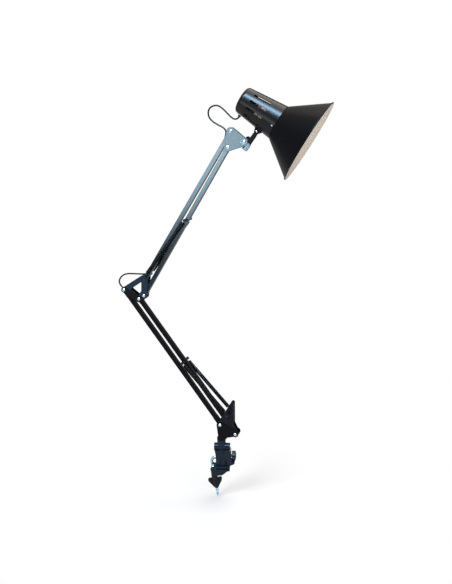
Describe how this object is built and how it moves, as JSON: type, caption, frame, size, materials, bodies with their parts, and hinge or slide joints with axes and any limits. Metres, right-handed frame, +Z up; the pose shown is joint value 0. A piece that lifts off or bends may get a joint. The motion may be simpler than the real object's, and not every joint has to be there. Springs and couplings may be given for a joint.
{
  "type": "desk lamp",
  "caption": "Accordion desk lamp: two sprung parallel-bar arms on a screw clamp, with a vented cone shade and a bulb.",
  "frame": {"origin": "where the swivel axis meets the upper jaw's desk face", "axes": "+Z up along the swivel axis, +X the way the shade points, the arms lie in the plane Y = 0"},
  "size_m": [0.4341, 0.1639, 0.8432],
  "materials": {
    "gloss_black": "gloss",
    "slate_paint": "gloss",
    "satin_black": "satin",
    "nickel": "polished",
    "zinc": "satin",
    "black_plastic": "matte",
    "slate_plastic": "satin",
    "rubber": "matte",
    "spring_steel": "satin",
    "porcelain": "gloss",
    "phenolic": "gloss",
    "milk_glass": "frosted",
    "aluminium_cap": "satin",
    "red_plastic": "gloss"
  },
  "bodies": {
    "clamp": {"clamp_body": "slate_plastic", "clamp_rod": "nickel"},
    "knob": {"rod_knob": "black_plastic"},
    "jaw": {"lower_jaw": "slate_plastic"},
    "nut": {"hand_nut": "black_plastic"},
    "base": {"base_bracket": "gloss_black", "spring_tab_near": "slate_paint", "spring_tab_far": "slate_paint", "base_rivets": "nickel", "tab_studs": "nickel"},
    "lower_left": {"lower_left_bar": "gloss_black", "lower_left_sleeves": "gloss_black", "cord_outlet": "rubber", "lower_bar_cord": "rubber", "elbow_cord_loop": "rubber"},
    "lower_right": {"lower_right_bar": "gloss_black", "lower_right_sleeves": "gloss_black", "lower_spring_pin": "nickel"},
    "elbow": {"elbow_plate_near": "slate_paint", "elbow_plate_far": "slate_paint", "elbow_rivets": "nickel", "elbow_studs": "nickel"},
    "upper_left": {"upper_left_bar": "slate_paint", "upper_left_sleeves": "slate_paint", "upper_bar_cord": "rubber", "head_cord_loop": "rubber"},
    "upper_right": {"upper_right_bar": "slate_paint", "upper_right_sleeves": "slate_paint", "upper_spring_pin": "nickel"},
    "lower_springs": {"lower_spring_near": "spring_steel", "lower_spring_far": "spring_steel"},
    "lower_hooks": {"lower_spring_hooks": "spring_steel"},
    "upper_springs": {"upper_spring_near": "spring_steel", "upper_spring_far": "spring_steel"},
    "upper_hooks": {"upper_spring_hooks": "spring_steel"},
    "head": {"head_bracket": "slate_paint", "head_rivets": "nickel", "tilt_bolt": "nickel", "star_washer": "zinc", "wing_washer": "zinc"},
    "wing": {"wing_nut": "black_plastic"},
    "knuckle": {"knuckle": "zinc"},
    "post": {"post": "black_plastic", "post_clip": "nickel"},
    "lamp": {"shade_fork": "gloss_black", "fork_rivet": "nickel", "housing": "satin_black", "shade": "satin_black", "housing_screws": "nickel", "socket_body": "porcelain", "socket_shell": "phenolic", "socket_bracket": "zinc", "bulb_globe": "milk_glass", "bulb_cap": "aluminium_cap", "switch_body": "black_plastic", "grommet": "rubber", "grommet_clip": "nickel"},
    "button": {"switch_button": "red_plastic"}
  },
  "joints": [
    {"name": "base_swivel", "type": "hinge", "parent": "clamp", "child": "base", "pos_m": [0, 0, 0], "axis": [0, 0, 1], "continuous": true},
    {"name": "rod_knob_turn", "type": "hinge", "parent": "clamp", "child": "knob", "pos_m": [0, 0, 0.0228], "axis": [0.9781, 0.2079, 0], "continuous": true},
    {"name": "jaw_travel", "type": "slide", "parent": "clamp", "child": "jaw", "axis": [0.1614, 0.0343, -0.9863], "range_m": [0, 0.0151]},
    {"name": "nut_turn", "type": "hinge", "parent": "jaw", "child": "nut", "pos_m": [-0.01878, -0.00399, 0], "axis": [0.1614, 0.0343, -0.9863], "range_deg": [0, 5400]},
    {"name": "lower_arm", "type": "hinge", "parent": "base", "child": "lower_left", "pos_m": [-0.0015, 0, 0.0955], "axis": [0, 1, 0], "range_deg": [-6, 46], "deforming": ["elbow_cord_loop"]},
    {"name": "lower_right_turn", "type": "hinge", "parent": "base", "child": "lower_right", "pos_m": [0.03179, 0, 0.07824], "axis": [0, 1, 0], "range_deg": [-7, 47]},
    {"name": "elbow_level", "type": "hinge", "parent": "lower_left", "child": "elbow", "pos_m": [-0.20972, 0, 0.37434], "axis": [0, 1, 0], "range_deg": [-47, 7]},
    {"name": "upper_arm", "type": "hinge", "parent": "elbow", "child": "upper_left", "pos_m": [-0.163, 0, 0.39847], "axis": [0, 1, 0], "range_deg": [-2, 42], "deforming": ["head_cord_loop"]},
    {"name": "upper_right_turn", "type": "hinge", "parent": "elbow", "child": "upper_right", "pos_m": [-0.16512, 0, 0.36474], "axis": [0, 1, 0], "range_deg": [-3, 44]},
    {"name": "head_level", "type": "hinge", "parent": "upper_left", "child": "head", "pos_m": [0.02022, 0, 0.69525], "axis": [0, 1, 0], "range_deg": [-52, 4]},
    {"name": "lower_spring_swing", "type": "hinge", "parent": "base", "child": "lower_springs", "pos_m": [0.017, 0, 0.1225], "axis": [0, 1, 0], "range_deg": [-20, 100]},
    {"name": "lower_hook_swing", "type": "hinge", "parent": "lower_right", "child": "lower_hooks", "pos_m": [-0.07979, 0, 0.22768], "axis": [0, 1, 0], "range_deg": [-20, 100]},
    {"name": "upper_spring_swing", "type": "hinge", "parent": "elbow", "child": "upper_springs", "pos_m": [-0.15753, 0, 0.40732], "axis": [0, 1, 0], "range_deg": [-20, 100]},
    {"name": "upper_hook_swing", "type": "hinge", "parent": "upper_right", "child": "upper_hooks", "pos_m": [-0.06934, 0, 0.52477], "axis": [0, 1, 0], "range_deg": [-20, 100]},
    {"name": "head_tilt", "type": "hinge", "parent": "head", "child": "knuckle", "pos_m": [0.04622, 0, 0.67485], "axis": [0, 1, 0], "range_deg": [-35, 35]},
    {"name": "wing_nut_turn", "type": "hinge", "parent": "head", "child": "wing", "pos_m": [0.04622, 0, 0.67485], "axis": [0, 1, 0], "continuous": true},
    {"name": "head_swivel", "type": "hinge", "parent": "knuckle", "child": "post", "pos_m": [0.07052, 0, 0.69454], "axis": [0.5807, 0, 0.8141], "range_deg": [-60, 60]},
    {"name": "shade_tilt", "type": "hinge", "parent": "post", "child": "lamp", "pos_m": [0.07052, 0, 0.69454], "axis": [-0.0341, 0.9991, 0.0243], "range_deg": [-20, 20]},
    {"name": "switch_press", "type": "slide", "parent": "lamp", "child": "button", "axis": [0.851, 0.0418, -0.5235], "range_m": [0, 0.002], "stiffness_N_per_m": 400}
  ],
  "couplings": [
    {"joint": "jaw_travel", "follows": "nut_turn", "m_per_rad": 0.00015915},
    {"joint": "lower_right_turn", "follows": "lower_arm", "ratio": 1},
    {"joint": "elbow_level", "follows": "lower_arm", "ratio": -1},
    {"joint": "lower_spring_swing", "follows": "lower_arm", "ratio": 1.317},
    {"joint": "lower_hook_swing", "follows": "lower_arm", "ratio": 0.317},
    {"joint": "upper_right_turn", "follows": "upper_arm", "ratio": 1.008},
    {"joint": "head_level", "follows": "upper_arm", "ratio": -1.17},
    {"joint": "upper_spring_swing", "follows": "upper_arm", "ratio": 1.1916},
    {"joint": "upper_hook_swing", "follows": "upper_arm", "ratio": 0.1836}
  ]
}
